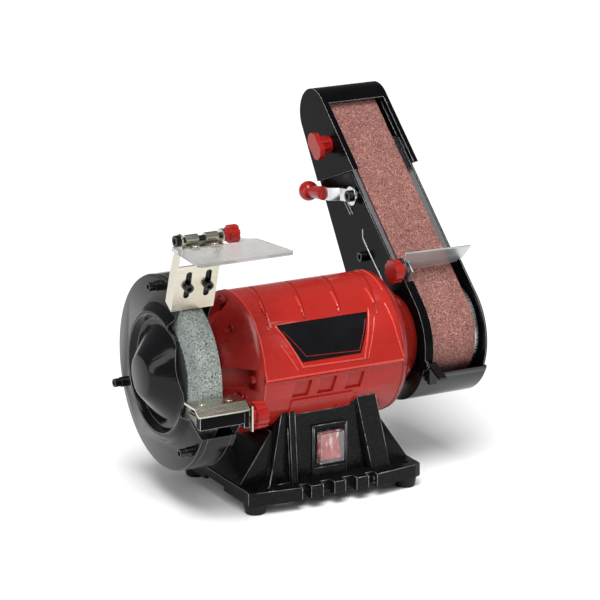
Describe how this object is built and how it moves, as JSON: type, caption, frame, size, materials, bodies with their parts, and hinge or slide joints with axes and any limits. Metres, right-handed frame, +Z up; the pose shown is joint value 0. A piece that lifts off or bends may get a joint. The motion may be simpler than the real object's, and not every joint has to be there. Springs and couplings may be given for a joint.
{
  "type": "belt_grinder",
  "caption": "Bench grinder with a grey stone in a black guard and eye shield on the left, and a tilting sanding belt arm on the right of a red motor on a black cast base.",
  "frame": {"origin": "on the bench top, at the centre of the four bench holes and feet", "axes": "X to the belt arm along the motor axis, Y away from the user, Z up"},
  "size_m": [0.3291, 0.2977, 0.3217],
  "materials": {
    "cast_black": "textured",
    "black_paint": "gloss",
    "red_paint": "gloss",
    "grey_paint": "satin",
    "zinc": "satin",
    "bright_steel": "brushed",
    "dark_steel": "satin",
    "aluminium": "machined",
    "copper": "enamelled",
    "rubber": "matte",
    "black_plastic": "matte",
    "red_plastic": "gloss",
    "clear": "clear",
    "abrasive_grey": "rough",
    "abrasive_brown": "rough"
  },
  "bodies": {
    "grinder": {"base_casting": "cast_black", "base_plate": "zinc", "base_screws": "bright_steel", "rubber_feet": "rubber", "switch_bezel": "black_plastic", "switch_body": "black_plastic", "switch_boot": "clear", "cable_gland": "black_plastic", "capacitor": "black_plastic", "terminal_block": "black_plastic", "motor_housing": "red_paint", "label_plate": "black_plastic", "left_bell": "red_paint", "right_bell": "red_paint", "bell_screws": "bright_steel", "stator_core": "dark_steel", "stator_windings": "copper", "bearings": "bright_steel", "guard_cover": "black_paint", "guard_backplate": "black_paint", "guard_screws": "dark_steel", "bracket_screws": "dark_steel", "rest_bracket": "zinc", "pivot_ring": "bright_steel"},
    "rocker": {"switch_rocker": "red_plastic"},
    "rotor": {"shaft": "bright_steel", "rotor_core": "dark_steel", "grinding_wheel": "abrasive_grey", "wheel_flanges": "bright_steel", "shaft_nuts": "bright_steel", "drive_drum": "aluminium"},
    "spark_guard": {"spark_bracket": "zinc", "shield_rod": "dark_steel"},
    "shield": {"shield_clip": "zinc", "clip_rivets": "bright_steel", "eye_shield": "clear"},
    "shield_nut": {"shield_knob": "red_plastic"},
    "rest": {"rest_arm": "black_paint", "rest_plate": "zinc"},
    "rest_nut": {"rest_knob": "red_plastic"},
    "arm": {"arm_left_plate": "black_paint", "arm_right_plate": "black_paint", "arm_back": "black_paint", "upper_hood": "black_paint", "platen": "bright_steel", "arm_screws": "dark_steel", "slide_guide": "dark_steel", "sanding_belt": "abrasive_brown"},
    "cover": {"lower_cover": "black_paint"},
    "latch": {"cover_latch": "dark_steel"},
    "carriage": {"tension_carriage": "dark_steel", "tension_spring": "bright_steel"},
    "yoke": {"idler_yoke": "zinc"},
    "idler": {"idler_roller": "aluminium", "idler_bearings": "bright_steel"},
    "lever": {"tension_lever": "bright_steel", "lever_grip": "red_plastic"},
    "tracking": {"tracking_knob": "red_plastic"},
    "belt_rest": {"belt_rest": "grey_paint"},
    "belt_rest_nut": {"belt_rest_knob": "red_plastic"}
  },
  "joints": [
    {"name": "rotor_spin", "type": "hinge", "parent": "grinder", "child": "rotor", "pos_m": [0, 0, 0.1225], "axis": [1, 0, 0], "continuous": true},
    {"name": "arm_tilt", "type": "hinge", "parent": "grinder", "child": "arm", "pos_m": [0.1035, 0, 0.1225], "axis": [1, 0, 0], "range_deg": [-42, 48]},
    {"name": "cover_hinge", "type": "hinge", "parent": "arm", "child": "cover", "pos_m": [0.134, 0.0625, 0.099], "axis": [1, 0, 0], "range_deg": [0, 45]},
    {"name": "latch_hinge", "type": "hinge", "parent": "arm", "child": "latch", "pos_m": [0.106, -0.053, 0.107], "axis": [1, 0, 0], "range_deg": [-75, 0]},
    {"name": "tension_lever_turn", "type": "hinge", "parent": "arm", "child": "lever", "pos_m": [0.096, 0.0775, 0.23669], "axis": [-1, 0, 0], "range_deg": [0, 75]},
    {"name": "idler_slide", "type": "slide", "parent": "arm", "child": "carriage", "axis": [0, 0.7431, 0.6691], "range_m": [-0.006, 0]},
    {"name": "tracking_turn", "type": "hinge", "parent": "arm", "child": "tracking", "pos_m": [0.092, 0.12517, 0.2749], "axis": [1, 0, 0], "range_deg": [-180, 180]},
    {"name": "idler_tilt", "type": "hinge", "parent": "carriage", "child": "yoke", "pos_m": [0.133, 0.1325, 0.26602], "axis": [0, -0.6691, 0.7431], "range_deg": [-0.5, 0.5]},
    {"name": "idler_spin", "type": "hinge", "parent": "yoke", "child": "idler", "pos_m": [0.133, 0.15851, 0.29617], "axis": [1, 0, 0], "continuous": true},
    {"name": "belt_rest_slide", "type": "slide", "parent": "arm", "child": "belt_rest", "axis": [0, -0.6691, 0.7431], "range_m": [0, 0.0055]},
    {"name": "belt_rest_clamp", "type": "hinge", "parent": "arm", "child": "belt_rest_nut", "pos_m": [0.095, -0.00871, 0.18598], "axis": [1, 0, 0], "range_deg": [-180, 180]},
    {"name": "spark_guard_slide", "type": "slide", "parent": "grinder", "child": "spark_guard", "axis": [0, -0.309, 0.9511], "range_m": [-0.0012, 0.009]},
    {"name": "shield_tilt", "type": "hinge", "parent": "spark_guard", "child": "shield", "pos_m": [-0.12685, -0.05612, 0.25672], "axis": [-1, 0, 0], "range_deg": [-25, 80]},
    {"name": "shield_clamp", "type": "hinge", "parent": "spark_guard", "child": "shield_nut", "pos_m": [-0.0989, -0.05612, 0.25672], "axis": [1, 0, 0], "range_deg": [-180, 180]},
    {"name": "rest_slide", "type": "slide", "parent": "grinder", "child": "rest", "axis": [0, 1, 0], "range_m": [-0.008, 0.0015]},
    {"name": "rest_clamp", "type": "hinge", "parent": "rest", "child": "rest_nut", "pos_m": [-0.095, -0.094, 0.104], "axis": [1, 0, 0], "range_deg": [-180, 180]},
    {"name": "switch_rock", "type": "hinge", "parent": "grinder", "child": "rocker", "pos_m": [0, -0.0495, 0.049], "axis": [1, 0, 0], "range_deg": [0, 10]}
  ],
  "couplings": [
    {"joint": "idler_spin", "follows": "rotor_spin", "ratio": 2.186},
    {"joint": "tension_lever_turn", "follows": "idler_slide", "rad_per_m": -218.16},
    {"joint": "tracking_turn", "follows": "idler_tilt", "ratio": 359.99}
  ]
}
